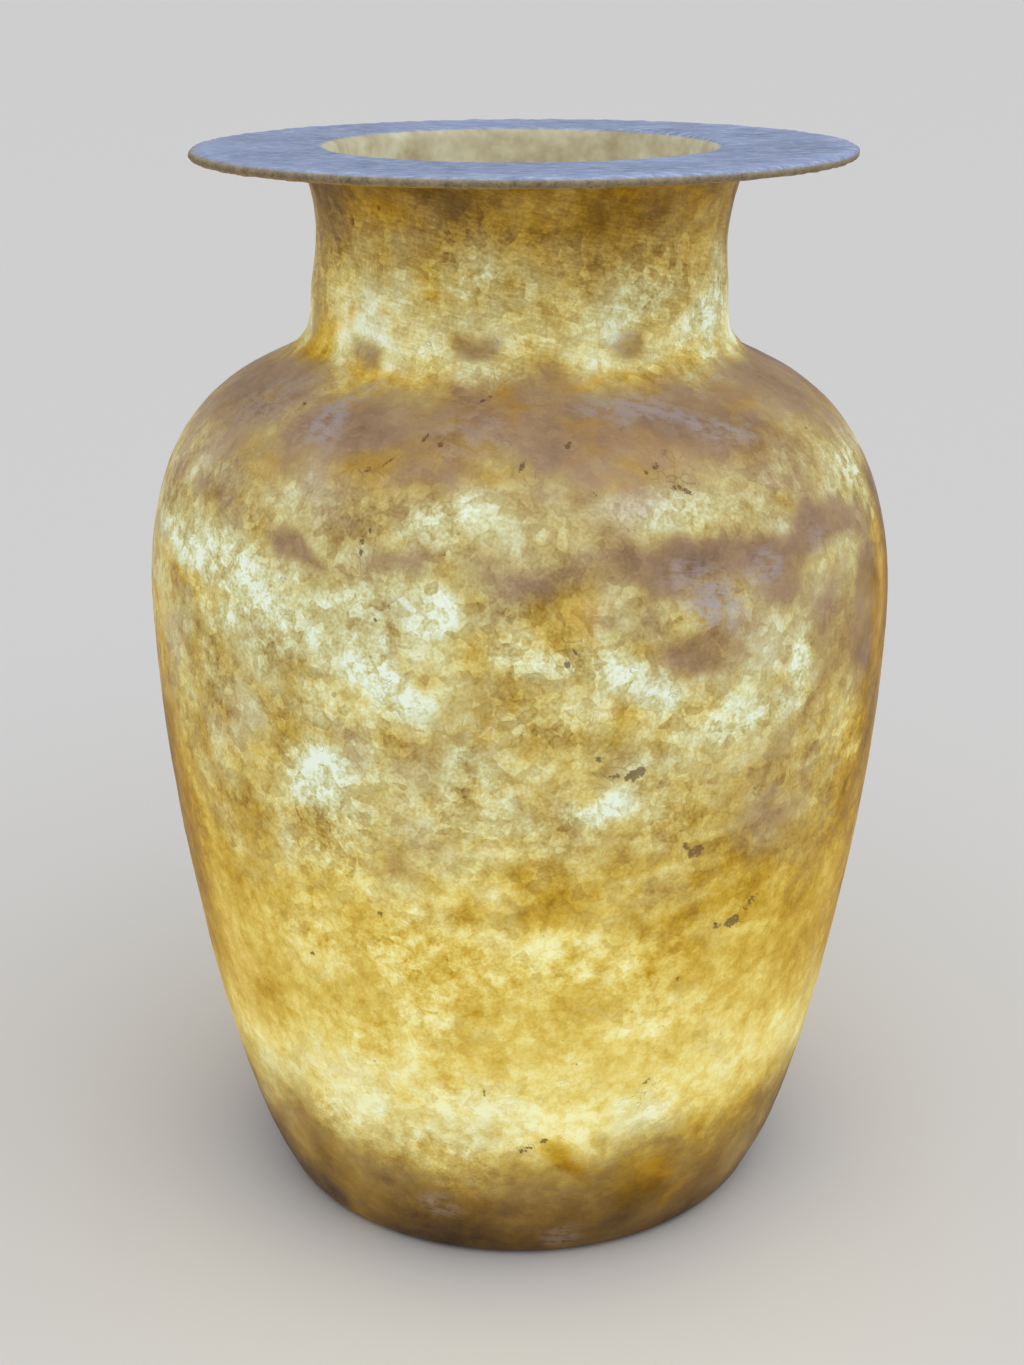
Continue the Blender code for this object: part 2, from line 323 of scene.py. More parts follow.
# Golden stone. The tall rows near ±60° to ±80° are partly golden stone and partly painted amber shade on
# the flanks.
GOLDEN_AND_SIDE_SHADE = (
    # Rim and neck
    (-40, 286, 24, 5, 0, 0.3), (8, 286, 30, 5, 0, 0.25), (-62, 252, 18, 5, 10, 0.6),
    # Shoulder
    (-14, 231, 34, 6, 0, 0.25), (-48, 228, 16, 6, 0, 0.1),
    # Top of the belly
    (-58, 196, 14, 2.5, -4, 0.6), (-45, 192, 16, 3, -8, 0.6), (-2, 190, 14, 6, 0, 0.45),
    (68, 188, 18, 24, 0, 0.7),
    # Belly
    (-24, 176, 12, 6, 0, 0.35), (0, 172, 16, 8, 0, 0.3), (18, 172, 24, 4, -8, 0.4),
    (61, 140, 12, 22, 0, 0.5), (-68, 130, 12, 44, 6, 0.5), (68, 130, 22, 40, 6, 0.5),
    # Flank
    (-62, 118, 14, 24, 0, 0.8), (-20, 105, 26, 14, 0, 0.25), (40, 104, 14, 30, 24, 0.4),
    (52, 92, 16, 16, 0, 0.5), (-52, 88, 17, 26, -14, 0.9), (2, 88, 4, 20, -40, 0.4),
    (-46, 78, 14, 12, 0, 0.5), (0, 76, 50, 8, 0, 0.2), (48, 74, 18, 16, 0, 0.5),
    (20, 72, 5, 24, -48, 0.5), (30, 60, 10, 10, 0, 0.4),
    # Bright band and foot
    (8, 48, 12, 18, 30, 0.4), (42, 44, 20, 18, 0, 0.5), (-14, 40, 20, 6, 0, 0.3),
    (26, 30, 12, 12, 0, 0.5),
    # Sides and back. The four widest rows, at about ±96°, are painted amber shade on the flanks
    (-172, 190, 14, 6, 0, 0.5), (150, 172, 20, 5, 8, 0.4), (-98, 150, 68, 70, 0, 0.5),
    (98, 150, 68, 70, 0, 0.5), (178, 98, 18, 22, 0, 0.5), (-122, 96, 20, 26, -8, 0.8),
    (122, 92, 18, 26, 12, 0.8), (-94, 66, 50, 46, 0, 0.2), (94, 60, 50, 46, 0, 0.15),
    (-150, 38, 14, 12, 0, 0.4),
)
IRON = (
    # Rim and neck
    (-52, 261, 4, 3, 0, 0.65), (-58, 255, 12, 2.0, 24, 0.7), (-68, 251, 10, 2.0, 20, 0.6),
    (14, 248, 20, 1.5, 0, 0.6), (-36, 247, 26, 1.8, 0, 0.55), (48, 246, 20, 1.5, 0, 0.5),
    # Shoulder
    (-4, 242, 14, 2, 0, 0.5), (52, 240, 12, 3, 0, 0.4), (-10, 238, 12, 4, 0, 0.30),
    (12, 238, 14, 5, 0, 0.42), (24, 232, 12, 4, 0, 0.28), (-25, 231, 14, 3.5, 10, 0.36),
    (18, 229, 14, 3, 0, 0.3), (-45, 227, 14, 4, 10, 0.28),
    # Top of the belly
    (10, 202, 6, 5, 0, 0.25), (7, 197, 8, 9, 0, 0.50), (3, 192, 6, 5, 20, 0.35),
    (72, 188, 10, 18, 0, 0.45),
    # Belly
    (24, 178, 5, 4, 0, 0.25),
    # Flank
    (-64, 112, 8, 26, 0, 0.35), (66, 104, 8, 22, 0, 0.35), (30, 92, 4, 26, 32, 0.25),
    (-56, 84, 12, 18, -14, 0.50),
    # Bright band and foot
    (8, 40, 2.5, 13, 40, 0.75), (28, 29, 3, 8, 10, 0.8), (33, 20, 3, 7, 0, 0.5),
    # Sides and back
    (120, 254, 10, 2.5, -20, 0.6), (-110, 240, 16, 4, 0, 0.35), (-170, 238, 18, 5, 0, 0.4),
    (140, 232, 16, 4, 0, 0.4), (172, 190, 9, 8, 0, 0.5), (-120, 168, 8, 14, 0, 0.35),
    (92, 60, 3, 12, 24, 0.4), (-92, 52, 3, 12, -24, 0.4), (160, 36, 3, 12, 30, 0.7),
    (-150, 28, 3, 9, -10, 0.6),
)
# Scuffs whose colour carries a painted sheen, the studio light's reflection, most of all on the shoulder.
SCUFFS_AND_SHEEN = (
    # Rim and neck
    (26, 256, 8, 2.5, 0, 0.45), (-11, 255, 10, 2.5, 0, 0.6), (-42, 252, 7, 2.5, 0, 0.4),
    # Shoulder
    (22, 243, 18, 2.5, 0, 0.6), (-8, 239, 12, 4, 0, 0.35), (30, 239, 24, 3.5, -6, 0.75),
    (-60, 238, 14, 5, 0, 0.4), (-38, 238, 10, 5, 30, 0.9), (-34, 236, 6, 4, 50, 0.5),
    (40, 235, 12, 3, 0, 0.5),
    # Top of the belly
    (-48, 214, 9, 4, 0, 0.3), (23, 207, 8, 4, 0, 0.6), (48, 206, 8, 4, 0, 0.4), (37, 204, 5, 4, 0, 0.7),
    (-72, 202, 10, 3, 0, 0.5), (29, 201, 8, 6, 0, 0.8), (-19, 200, 5, 3, 0, 0.6),
    (12, 200, 5, 4, 0, 0.25), (31, 195, 7, 5, 0, 0.7),
    # Belly
    (-4, 168, 7, 9, 0, 0.18),
    # Bright band and foot
    (-16, 22, 9, 6, 0, 0.35), (9, 11, 9, 6, 0, 0.35),
    # Sides and back
    (-152, 240, 22, 4, 6, 0.7), (-100, 239, 20, 4, 0, 0.6), (100, 238, 20, 4, 0, 0.6),
    (146, 237, 12, 5, -20, 0.8), (-136, 207, 8, 4, 0, 0.5), (110, 206, 8, 4, 0, 0.4),
    (168, 201, 8, 7, 0, 0.8), (-174, 14, 10, 6, 0, 0.4),
)
CRAZED = (
    # Rim and neck
    (-46, 286, 6, 5, 0, 0.7), (2, 262, 10, 6, 0, 0.4), (30, 262, 8, 5, 0, 0.3), (-28, 254, 10, 4, 0, 0.5),
    # Shoulder
    (-9, 244, 7, 2, 20, 0.6), (-58, 238, 8, 3, 0, 0.5), (9, 236, 4, 2, 20, 0.6), (0, 232, 4, 2, 40, 0.6),
    (48, 232, 12, 4, 0, 0.4), (-23, 231, 6, 3, 30, 0.7), (25, 228, 7, 5, 20, 0.9),
    # Top of the belly
    (-23, 214, 3, 5, 0, 0.9), (-56, 205, 10, 4, 0, 0.6), (9, 197, 5, 5, 0, 0.5),
    (-36, 196, 12, 6, 0, 0.35), (6, 190, 4, 6, 20, 1.0),
    # Belly
    (-18, 176, 10, 8, 0, 0.35), (22, 174, 12, 8, 0, 0.35), (-4, 170, 14, 8, 0, 0.4),
    (14, 160, 8, 4, 10, 0.8), (36, 148, 5, 4, 0, 0.6), (25, 135, 6, 5, 0, 0.7),
    # Flank
    (-20, 118, 6, 6, 0, 0.35), (36, 112, 6, 5, 30, 0.8), (20, 60, 8, 5, 30, 0.35),
    # Bright band and foot
    (2, 45, 7, 3, 34, 0.8),
    # Sides and back
    (178, 258, 10, 5, 0, 0.5), (-112, 238, 9, 4, 0, 0.6), (150, 228, 9, 5, 20, 0.9),
    (-140, 200, 10, 6, 0, 0.7), (96, 190, 8, 6, 0, 0.5), (120, 150, 8, 6, 0, 0.6),
    (-166, 120, 8, 6, 0, 0.6), (168, 52, 9, 4, 30, 0.7),
)
# Each row is azimuth, height in mm, half width in mm, half height in mm, tilt in degrees, depth as a share.
CHIPS = (
    # Rim and neck
    (-40, 288, 0.9, 0.9, 0, 1.0), (-45, 286, 0.8, 0.8, 0, 0.9), (-51, 284, 0.9, 1.6, 0, 1.0),
    # Shoulder
    (-8, 244, 3.0, 0.4, 24, 0.8), (-48, 240, 1.0, 0.5, 0, 0.8), (-17, 237, 1.0, 0.6, 50, 1.0),
    (-14, 236, 0.7, 0.7, 60, 1.0), (8, 236, 1.0, 0.5, 20, 0.9), (-22, 232, 2.2, 0.4, 34, 0.9),
    (0, 232, 1.4, 0.5, 50, 0.9), (60, 232, 1.0, 0.5, 0, 0.9), (22, 231, 1.9, 0.6, 30, 1.0),
    (-25, 230, 1.4, 0.4, 20, 0.9), (20, 230, 0.8, 0.5, 0, 0.9), (11, 226, 0.7, 0.6, 0, 1.0),
    (24, 226, 1.5, 0.8, 10, 1.0), (26, 225, 1.9, 0.8, -30, 1.0),
    # Top of the belly
    (-22, 217, 0.5, 0.8, 30, 0.9), (-23, 215, 0.7, 1.2, 10, 1.0), (-11, 213, 1.2, 0.5, 40, 0.9),
    (-23, 212, 0.8, 1.0, -20, 1.0), (-18, 200, 0.7, 0.7, 0, 1.0), (10, 200, 1.1, 0.5, 0, 1.0),
    (-20, 197, 0.5, 0.5, 0, 1.0), (7, 191, 0.6, 1.5, 30, 0.9), (6, 188, 0.8, 1.2, -10, 0.9),
    # Belly
    (0, 170, 1.1, 1.0, 0, 0.8), (11, 163, 2.2, 1.0, 0, 0.8), (13, 158, 2.0, 1.0, 0, 0.7),
    (16, 158, 3.6, 1.7, 20, 0.9), (36, 148, 2.6, 1.6, 0, 0.4), (-84, 136, 1.4, 1.0, 0, 0.6),
    (24, 136, 1.6, 1.6, 0, 0.6), (26, 134, 3.2, 2.8, 0, 0.7), (44, 127, 1.8, 1.2, 0, 0.5),
    # Flank
    (-21, 117, 0.9, 0.9, 0, 0.8), (37, 114, 3.4, 1.5, 50, 0.9), (31, 110, 1.8, 1.2, 0, 0.7),
    (34, 110, 3.4, 2.0, 10, 0.9), (42, 104, 2.0, 0.8, 40, 0.6), (-34, 100, 0.9, 0.9, 0, 0.6),
    (25, 96, 1.0, 0.9, 0, 0.8), (9, 73, 1.2, 1.0, 0, 0.8), (-6, 64, 0.6, 1.8, 10, 0.7),
    (22, 64, 2.2, 1.0, 36, 0.6),
    # Bright band and foot
    (4, 47, 1.8, 0.7, 38, 0.9), (1, 44, 2.2, 1.0, 30, 1.0),
    # Sides and back
    (-128, 232, 3.0, 0.7, -24, 1.0), (88, 228, 2.2, 0.8, 12, 0.9), (165, 226, 2.8, 0.9, 20, 1.0),
    (124, 205, 1.2, 0.9, 0, 0.9), (172, 180, 2.0, 1.2, 0, 0.8), (-100, 172, 1.2, 1.0, 0, 0.8),
    (140, 150, 3.4, 2.2, 20, 0.9), (-150, 118, 2.8, 1.8, 0, 0.8), (-112, 96, 1.8, 1.2, 0, 0.7),
    (110, 84, 1.6, 1.2, 0, 0.8), (-165, 60, 3.0, 0.8, -30, 0.9),
)
# How deep a chip or pit is at its middle, and how far around it the faces are cut finer, in mm
CHIP_DEPTH = 0.0008
CHIP_MARGIN = 1.6
# Broad places where the stone is carved flatter: azimuth, height in mm, reach in mm, share of FLAT_DEPTH.
FLATS = ((88, 226, 62, 1.0), (-20, 120, 50, 0.25), (150, 150, 60, 0.7), (-130, 200, 55, 0.4))
FLAT_DEPTH = 0.0011
# How far aside in the noise the wandering of each axis is read, in metres
WANDER_ASIDE = 26.1


def clear_selection():
    for each in bpy.data.objects:
        each.select_set(False)


def cad_outline():
    """The solid's outline in the half plane of +X, from the hollow's floor over the rim to the underside.

    The solid's flat faces have no edge along the radius, so the outline jumps over them.
    """
    mesh = frame["nodes"][NODE].data
    near = 2e-5
    spots = {}
    links = {}
    for edge in mesh.edges:
        ends = [mesh.vertices[index].co for index in edge.vertices]
        if any(abs(end.y) > near or end.x < near for end in ends):
            continue
        pair = [(round(end.x / near), round(end.z / near)) for end in ends]
        for key, end in zip(pair, ends):
            spots[key] = (end.x, end.z)
        if pair[0] != pair[1]:
            links.setdefault(pair[0], set()).add(pair[1])
            links.setdefault(pair[1], set()).add(pair[0])
    top = max(spot[1] for spot in spots.values())
    ends = {key for key in links if len(links[key]) == 1}
    here = next(key for key in ends if 0.001 < spots[key][1] < top - 0.001)
    outline = [(0.0, spots[here][1])]
    left = set(spots)
    while left:
        outline.append(spots[here])
        left.discard(here)
        ahead = links[here] & left
        if ahead:
            here = ahead.pop()
        elif left:
            here = min(ends & left, key=lambda key: abs(spots[key][1] - spots[here][1]))
    outline.append((0.0, 0.0))
    return outline


def unit(a, b):
    length = math.hypot(b[0] - a[0], b[1] - a[1])
    return (b[0] - a[0]) / length, (b[1] - a[1]) / length, length


def fine_outline(shape):
    """The outline with rounded spans between the solid's points, as (radius, height, is hollow)."""
    points = cad_outline()
    widest = max(point[0] for point in points)
    spans = [unit(a, b) for a, b in zip(points, points[1:])]
    slopes = []
    for before, after in zip([spans[0]] + spans, spans + [spans[-1]]):
        ratio = before[2] / after[2]
        if ratio > LONG_SPAN:
            slope = before[:2]
        elif ratio < 1 / LONG_SPAN:
            slope = after[:2]
        else:
            mixed = (before[0] + after[0], before[1] + after[1])
            length = math.hypot(*mixed)
            slope = (mixed[0] / length, mixed[1] / length)
        slopes.append(slope)
    top = max(point[1] for point in points)
    lip = next(index for index, point in enumerate(points) if point[1] > top - 1e-6)
    fine = [(points[0][0], points[0][1], 1.0)]
    for index, span in enumerate(spans):
        a, b = points[index], points[index + 1]
        inside = index < lip
        flat = abs(span[1]) < 0.05
        if inside:
            step = shape.inner_step if a[1] < top - SEEN_DEPTH else shape.rim_step
        elif a[1] < 1e-5 and b[1] < 1e-5:
            step = UNDERSIDE_STEP
        else:
            step = shape.rim_step if flat else shape.outer_step
        # A rest of up to about a third of a step is spread over the others
        count = max(1, math.ceil(span[2] / step - 0.35))
        for part in range(1, count + 1):
            t = part / count
            ends = ((1 + 2 * t) * (1 - t) ** 2, t * t * (3 - 2 * t))
            pulls = (t * (1 - t) ** 2 * span[2], t * t * (t - 1) * span[2])
            leave, arrive = slopes[index], slopes[index + 1]
            radius = ends[0] * a[0] + ends[1] * b[0] + pulls[0] * leave[0] + pulls[1] * arrive[0]
            height = ends[0] * a[1] + ends[1] * b[1] + pulls[0] * leave[1] + pulls[1] * arrive[1]
            fine.append((min(max(radius, 0.0), widest), min(max(height, 0.0), top), 1.0 if inside else 0.0))
    return fine


def draw_outline(outline):
    """A chain of edges, drawn point by point from one corner of a plane."""
    bpy.ops.mesh.primitive_plane_add(size=0.01, location=(outline[0][0], 0.0, outline[0][1]))
    piece = bpy.context.active_object
    piece.name = PIECE
    piece.data.name = PIECE
    bpy.ops.object.transform_apply(location=True, rotation=False, scale=False)
    bpy.ops.object.mode_set(mode="EDIT")
    bpy.ops.mesh.select_all(action="SELECT")
    bpy.ops.mesh.merge(type="CENTER")
    for before, here in zip(outline, outline[1:]):
        step = (here[0] - before[0], 0.0, here[1] - before[1])
        bpy.ops.mesh.extrude_region_move(TRANSFORM_OT_translate={"value": step})
    bpy.ops.object.mode_set(mode="OBJECT")
    return piece


def turn(piece, columns):
    """Turns the chain around the axis, and closes its seam and poles."""
    screw = piece.modifiers.new("turning", "SCREW")
    screw.axis = "Z"
    screw.angle = math.tau
    screw.steps = columns
    screw.render_steps = columns
    screw.use_smooth_shade = True
    bpy.ops.object.modifier_apply(modifier=screw.name)
    bpy.ops.object.mode_set(mode="EDIT")
    bpy.ops.mesh.select_all(action="SELECT")
    bpy.ops.mesh.remove_doubles(threshold=0.00002)
    bpy.ops.mesh.normals_make_consistent(inside=False)
    bpy.ops.object.mode_set(mode="OBJECT")


def places(piece):
    """Each vertex's position, its azimuth and its height in mm, as arrays."""
    count = len(piece.data.vertices)
    flat = np.empty(count * 3)
    piece.data.vertices.foreach_get("co", flat)
    points = flat.reshape(-1, 3)
    azimuth = np.degrees(np.arctan2(points[:, 0], -points[:, 1]))
    return points, azimuth, points[:, 2] / MM


def smoothstep(value, low, high):
    share = np.clip((value - low) / (high - low), 0.0, 1.0)
    return share * share * (3 - 2 * share)


def hollow_share(piece):
    values = np.empty(len(piece.data.vertices), np.float32)
    piece.data.attributes["hollow"].data.foreach_get("value", values)
    return values


def spot_reach(points, azimuth, height, spot):
    """How far each vertex is from a spot, as a share of the spot's half width and half height."""
    turned_to = (azimuth - spot[0] + 180.0) % 360.0 - 180.0
    across = np.radians(turned_to) * np.hypot(points[:, 0], points[:, 1]) / MM
    up = height - spot[1]
    tilt = math.radians(spot[4])
    along = across * math.cos(tilt) + up * math.sin(tilt)
    over = up * math.cos(tilt) - across * math.sin(tilt)
    return np.hypot(along / spot[2], over / spot[3])


def refine_chips(piece):
    """Cuts the faces finer where the stone is chipped or pitted."""
    points, azimuth, height = places(piece)
    outside = hollow_share(piece) < 0.5
    near = np.zeros(len(points), bool)
    for spot in CHIPS:
        wide = (spot[0], spot[1], spot[2] + CHIP_MARGIN, spot[3] + CHIP_MARGIN, spot[4])
        near |= (spot_reach(points, azimuth, height, wide) < 1.0) & outside
    bpy.ops.object.mode_set(mode="EDIT")
    bpy.ops.mesh.select_all(action="DESELECT")
    bpy.ops.mesh.select_mode(type="FACE")
    cage = bmesh.from_edit_mesh(piece.data)
    cage.verts.ensure_lookup_table()
    for face in cage.faces:
        if any(near[corner.index] for corner in face.verts):
            face.select_set(True)
    bmesh.update_edit_mesh(piece.data)
    bpy.ops.mesh.subdivide(number_cuts=2, smoothness=0.0, quadcorner="INNERVERT")
    bpy.ops.object.mode_set(mode="OBJECT")


def weigh(piece, name, weights):
    """A vertex group with these weights."""
    group = piece.vertex_groups.new(name=name)
    rounded = np.round(np.clip(weights, 0.0, 1.0), 2)
    for level in np.unique(rounded):
        if level > 0:
            group.add([int(index) for index in np.nonzero(rounded == level)[0]], float(level), "REPLACE")


def press_in(piece, group, depth, texture=None, middle=1.0):
    """Moves the surface in by up to a depth, where the group and the texture say."""
    dent = piece.modifiers.new(group, "DISPLACE")
    dent.vertex_group = group
    dent.direction = "NORMAL"
    if texture is None:
        dent.mid_level = 0.0
        dent.strength = -depth
    else:
        dent.texture = texture
        dent.texture_coords = "LOCAL"
        dent.mid_level = middle
        dent.strength = depth
    bpy.ops.object.modifier_apply(modifier=dent.name)


def clouds(name, size, depth, contrast=1.0):
    texture = bpy.data.textures.new(name, "CLOUDS")
    texture.noise_basis = "IMPROVED_PERLIN"
    texture.noise_scale = size
    texture.noise_depth = depth
    texture.contrast = contrast
    return texture


def ragged(points, size):
    """Smooth noise of about -1 to 1 at each of the given points."""
    return np.array([noise.noise(Vector(point) / size) for point in points])


def settle_rim(piece, shift, drop):
    """Sets the rim a little to the right and lower on its left, and keeps the stone in the solid's box."""
    points, _, height = places(piece)
    # From the middle of the neck up to the rim
    share = smoothstep(height, 258.0, 292.0)
    points[:, 0] += share * shift
    points[:, 2] -= share * drop * (1.0 - points[:, 0] / RIM_RADIUS) / 2
    low, high = CAD_BOX
    widest = high[0] - 0.00005
    radius = np.hypot(points[:, 0], points[:, 1])
    points[:, :2] *= np.minimum(1.0, widest / np.maximum(radius, 1e-6))[:, None]
    points[:, 2] = np.clip(points[:, 2], low[2], high[2])
    piece.data.vertices.foreach_set("co", points.ravel())
    piece.data.update()


def wear(piece, shape):
    """Uneven carving, tool marks, grain, a nibbled rim edge, and chips."""
    refine_chips(piece)
    points, azimuth, height = places(piece)
    radius = np.hypot(points[:, 0], points[:, 1]) / MM
    outside = 1.0 - hollow_share(piece)
    off_floor = smoothstep(height, 0.3, 14.0)
    on_rim = smoothstep(height, 292.0, 295.5)
    broad = off_floor * (1.0 - 0.85 * on_rim) * (0.4 + 0.6 * outside)
    weigh(piece, "carving", broad)
    weigh(piece, "grain", off_floor * (1.0 - 0.35 * on_rim) * (0.3 + 0.7 * outside))
    weigh(piece, "edge", smoothstep(radius, 85.6, 88.2) * on_rim)
    flats = np.zeros(len(points))
    for at, up, reach, depth in FLATS:
        share = spot_reach(points, azimuth, height, (at, up, reach, reach, 0.0))
        flats = np.maximum(flats, depth * (1.0 - smoothstep(share, 0.0, 1.0)))
    weigh(piece, "flats", flats * broad)
    holes = np.zeros(len(points))
    for spot in CHIPS:
        share = spot_reach(points, azimuth, height, spot)
        close = np.nonzero((share < 2.0) & (outside > 0.5))[0]
        if len(close) == 0:
            continue
        edge = share[close] + 0.6 * ragged(points[close], 0.0019)
        depth = spot[5] * (1.0 - smoothstep(edge, 0.45, 1.05))
        holes[close] = np.maximum(holes[close], depth)
    weigh(piece, "chips", holes)
    press_in(piece, "carving", shape.waviness, clouds("waves", 0.060, 1), 0.55)
    press_in(piece, "flats", FLAT_DEPTH)
    press_in(piece, "carving", shape.tooling, clouds("tooling", 0.016, 2), 0.6)
    press_in(piece, "grain", shape.grain, clouds("grain", 0.0045, 1, 1.4))
    press_in(piece, "edge", shape.edge_wear, clouds("nibbles", 0.0035, 2, 1.6), 0.75)
    press_in(piece, "chips", CHIP_DEPTH)
    settle_rim(piece, shape.rim_shift, shape.rim_drop)
    pits = piece.data.attributes.new("pits", "FLOAT", "POINT")
    pits.data.foreach_set("value", holes.astype(np.float32))


def wandering(points, size, reach):
    """Each point moved by smooth noise, up to about the given reach. Each axis has its own noise."""
    moves = [ragged(points + WANDER_ASIDE * axis, size) for axis in np.eye(3)]
    return points + reach * np.stack(moves, axis=1)


def cloud_patches(piece):
    """Writes where the stone and its painted glow are brighter or duller, where the flanks get painted
    shade, where the stone is stained, and where scuffs get a painted sheen, as attributes of the mesh.
    """
    points, azimuth, height = places(piece)
    # The outlines of the patches wander broadly, and finely on top of that
    bent = wandering(wandering(points, 0.030, 0.0055), 0.008, 0.0028)
    azimuth = np.degrees(np.arctan2(bent[:, 0], -bent[:, 1]))
    height = bent[:, 2] / MM
    kinds = {
        "bright": BRIGHT, "dull": DULL_AND_SIDE_SHADE, "golden": GOLDEN_AND_SIDE_SHADE,
        "iron": IRON, "scuffed": SCUFFS_AND_SHEEN, "crazed": CRAZED,
    }
    for name, rows in kinds.items():
        total = np.zeros(len(points))
        for row in rows:
            across = ((azimuth - row[0] + 180.0) % 360.0 - 180.0) * DEGREE_MM
            up = height - row[1]
            tilt = math.radians(row[4])
            along = across * math.cos(tilt) + up * math.sin(tilt)
            over = up * math.cos(tilt) - across * math.sin(tilt)
            reach = np.hypot(along / row[2], over / row[3])
            total += row[5] * (1.0 - smoothstep(reach, *PATCH_EDGE))
        attribute = piece.data.attributes.new(name, "FLOAT", "POINT")
        attribute.data.foreach_set("value", total.astype(np.float32))


def carve_stone(shape):
    clear_selection()
    outline = fine_outline(shape)
    piece = draw_outline(outline)
    hollow = piece.data.attributes.new("hollow", "FLOAT", "POINT")
    hollow.data.foreach_set("value", [share for radius, height, share in outline])
    turn(piece, shape.columns)
    wear(piece, shape)
    cloud_patches(piece)
    for group in list(piece.vertex_groups):
        piece.vertex_groups.remove(group)
    return piece


class Value:
    """One output of a node. Sums written with it add the Math nodes they need."""

    def __init__(self, nodes, socket):
        self.nodes = nodes
        self.socket = socket

    def also(self, output):
        """Another output of the same node."""
        return Value(self.nodes, self.socket.node.outputs[output])

    def __add__(self, other):
        return self.nodes.math("ADD", self, other)

    def __radd__(self, other):
        return self.nodes.math("ADD", other, self)

    def __sub__(self, other):
        return self.nodes.math("SUBTRACT", self, other)

    def __rsub__(self, other):
        return self.nodes.math("SUBTRACT", other, self)

    def __mul__(self, other):
        return self.nodes.math("MULTIPLY", self, other)

    def __rmul__(self, other):
        return self.nodes.math("MULTIPLY", other, self)

    def __truediv__(self, other):
        return self.nodes.math("DIVIDE", self, other)


class StoneNodes:
    """Adds nodes to one material."""

    def __init__(self, material):
        self.tree = material.node_tree

    def add(self, kind, settings=None, inputs=None, output=0):
        """A node of this kind: its settings first, then the values or links of its sockets."""
        node = self.tree.nodes.new("ShaderNode" + kind)
        for name, value in (settings or {}).items():
            if name == "stops":
                self.set_stops(node.color_ramp, value)
            else:
                setattr(node, name, value)
        for key, value in (inputs or {}).items():
            self.plug(node.inputs[key], value)
        return Value(self, node.outputs[output])

    def set_stops(self, ramp, stops):
        ramp.elements[0].position = stops[0][0]
        ramp.elements[-1].position = stops[-1][0]
        for place, colour in stops[1:-1]:
            ramp.elements.new(place)
        for element, (place, colour) in zip(ramp.elements, stops):
            element.color = (*colour, 1.0)

    def plug(self, socket, value):
        if isinstance(value, Value):
            self.tree.links.new(value.socket, socket)
        else:
            socket.default_value = value

    def math(self, operation, a, b=None, clamp=False):
        inputs = {0: a} if b is None else {0: a, 1: b}
        return self.add("Math", {"operation": operation, "use_clamp": clamp}, inputs)

    def vector(self, operation, a, b):
        return self.add("VectorMath", {"operation": operation}, {0: a, 1: b})

    def smooth(self, value, low, high, start=0.0, end=1.0):
        """From start at low to end at high, with soft ends."""
        inputs = {"Value": value, "From Min": low, "From Max": high, "To Min": start, "To Max": end}
        return self.add("MapRange", {"interpolation_type": "SMOOTHSTEP"}, inputs)

    def blend(self, share, under, over):
        """A colour between two colours."""
        under, over = [(*c, 1.0) if isinstance(c, tuple) else c for c in (under, over)]
        return self.add("Mix", {"data_type": "RGBA"}, {0: share, 6: under, 7: over}, output=2)

    def tint(self, colour, strength):
        """A colour made stronger or weaker by a value."""
        return self.add("VectorMath", {"operation": "SCALE"}, {0: colour, "Scale": strength})

    def noise(self, place, size, detail=2.0, roughness=0.5, output="Fac"):
        inputs = {"Vector": place, "Scale": 1.0 / size, "Detail": detail, "Roughness": roughness}
        return self.add("TexNoise", {"noise_dimensions": "3D"}, inputs, output=output)

    def stretched(self, place, scale):
        return self.add("VectorMath", {"operation": "MULTIPLY"}, {0: place, 1: scale})

    def steps(self, value, stops):
        """A value that follows stops of (place, value), with straight lines between them."""
        grey = [(place, (level, level, level)) for place, level in stops]
        return self.add("ValToRGB", {"stops": grey}, {"Fac": value})

    def shades(self, value, stops):
        return self.add("ValToRGB", {"stops": stops}, {"Fac": value})

    def attribute(self, name):
        return self.add("Attribute", {"attribute_name": name}, None, output="Fac")


def by_height(*rows):
    """Stops for a ramp over the vase's height, from rows of (height in mm, level)."""
    return [(height / HEIGHT_TOP, level) for height, level in rows]


# How bright the lit stone is at each height
# The fall over the top of the neck to the rim is partly painted shade under the rim.
BRIGHTNESS = by_height(
    (0, 0.075), (10, 0.125), (20, 0.215), (28, 0.30), (38, 0.43), (46, 0.63), (56, 0.82), (66, 0.80),
    (84, 0.70), (105, 0.61), (130, 0.57), (160, 0.58), (186, 0.61), (200, 0.61), (210, 0.58), (218, 0.60),
    (225, 0.54), (231, 0.42), (236, 0.35), (243, 0.35), (247, 0.44), (251, 0.68), (257, 0.73), (265, 0.60),
    (276, 0.465), (285, 0.325), (291, 0.21), (297, 0.14),
)
# Share of the golden shades over the pale ones
GOLD = by_height(
    (0, 0.62), (18, 0.42), (32, 0.28), (46, 0.46), (60, 0.80), (90, 0.97), (118, 0.85), (145, 0.48),
    (180, 0.26), (205, 0.16), (226, 0.18), (244, 0.40), (248, 0.70), (252, 0.37),
    (266, 0.31), (280, 0.39), (290, 0.54), (298, 0.9),
)
# Share of the mauve shades of thick stone
MAUVE = by_height(
    (0, 0.16), (28, 0.10), (44, 0.0), (205, 0.0), (221, 0.20), (228, 0.64), (236, 0.95), (242, 1.0),
    (247, 0.35), (251, 0.0), (300, 0.0),
)
# How much of the inner light comes through
LIT = by_height(
    (0, 0.05), (14, 0.25), (30, 0.60), (46, 1.0), (218, 1.0), (230, 0.65), (244, 0.60), (251, 1.0),
    (272, 0.95), (288, 0.75), (296, 0.6),
)
# How lively the mottling is at each height
LIVELY = by_height(
    (0, 0.26), (30, 0.40), (46, 0.90), (205, 1.0), (222, 0.9), (232, 0.35), (245, 0.35), (251, 1.05),
    (272, 0.95), (290, 0.45), (300, 0.4),
)
